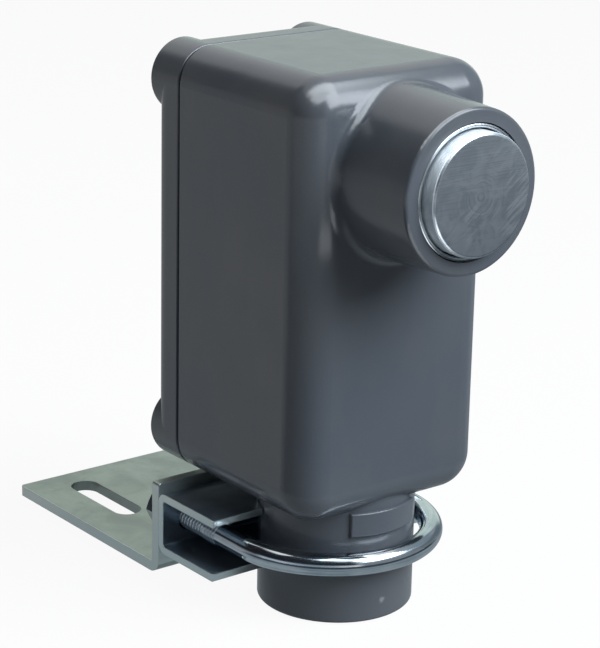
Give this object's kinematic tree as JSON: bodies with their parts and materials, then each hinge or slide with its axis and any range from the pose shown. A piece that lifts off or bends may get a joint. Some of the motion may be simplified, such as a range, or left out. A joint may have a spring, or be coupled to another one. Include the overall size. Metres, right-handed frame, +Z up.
{
  "type": "speed switch",
  "caption": "Magnetic speed switch: moulded grey box with a steel pick-up probe in a front boss, a screwed rear cover and a conduit hub held in a slotted U-bolt clamp bracket.",
  "frame": {"origin": "middle of the conduit hub's mouth, on the hub's axis", "axes": "+Z up along the hub's axis, the probe looks along -Y, and +X is to the right of someone facing the probe"},
  "size_m": [0.0738, 0.1554, 0.1482],
  "materials": {
    "grey_moulding": "semi-gloss grey moulded PVC",
    "black_rubber": "black rubber",
    "plated_screws": "zinc-plated steel",
    "brass_inserts": "plain brass",
    "machined_steel": "turned steel with fine tool marks",
    "sleeve_steel": "bright turned steel",
    "natural_plastic": "natural nylon",
    "winding_wire": "enamelled copper wire",
    "magnet_ferrite": "sintered ferrite",
    "board_laminate": "green solder mask",
    "core_laminations": "stacked steel laminations",
    "black_case": "black moulded case",
    "green_case": "green moulded case",
    "bright_zinc": "bright zinc plate",
    "blue_zinc": "blue-white zinc plate",
    "bracket_zinc": "zinc plate with a faint yellow-green passivation"
  },
  "bodies": {
    "bracket": {"angle_bracket": "bracket_zinc", "clamp_saddle": "blue_zinc", "u_bolt": "bright_zinc", "lock_washers": "bright_zinc", "clamp_nuts": "bright_zinc"},
    "switch": {"housing": "grey_moulding", "rear_cover": "grey_moulding", "cover_gasket": "black_rubber", "cover_screws": "plated_screws", "thread_inserts": "brass_inserts", "sensor_probe": "machined_steel", "probe_sleeve": "sleeve_steel", "probe_seal_ring": "black_rubber", "probe_lock_nut": "sleeve_steel", "coil_bobbin": "natural_plastic", "coil_winding": "winding_wire", "lead_pins": "plated_screws", "bias_magnet": "magnet_ferrite", "circuit_board": "board_laminate", "board_screws": "plated_screws", "transformer_core": "core_laminations", "transformer_winding": "winding_wire", "output_relay": "black_case", "terminal_block": "green_case", "terminal_screws": "plated_screws", "filter_capacitor": "black_case", "signal_chip": "black_case"}
  },
  "joints": [
    {"name": "clamp_swivel", "type": "hinge", "parent": "bracket", "child": "switch", "pos_m": [0, 0, 0], "axis": [0, 0, 1], "range_deg": [-75, 75]}
  ]
}
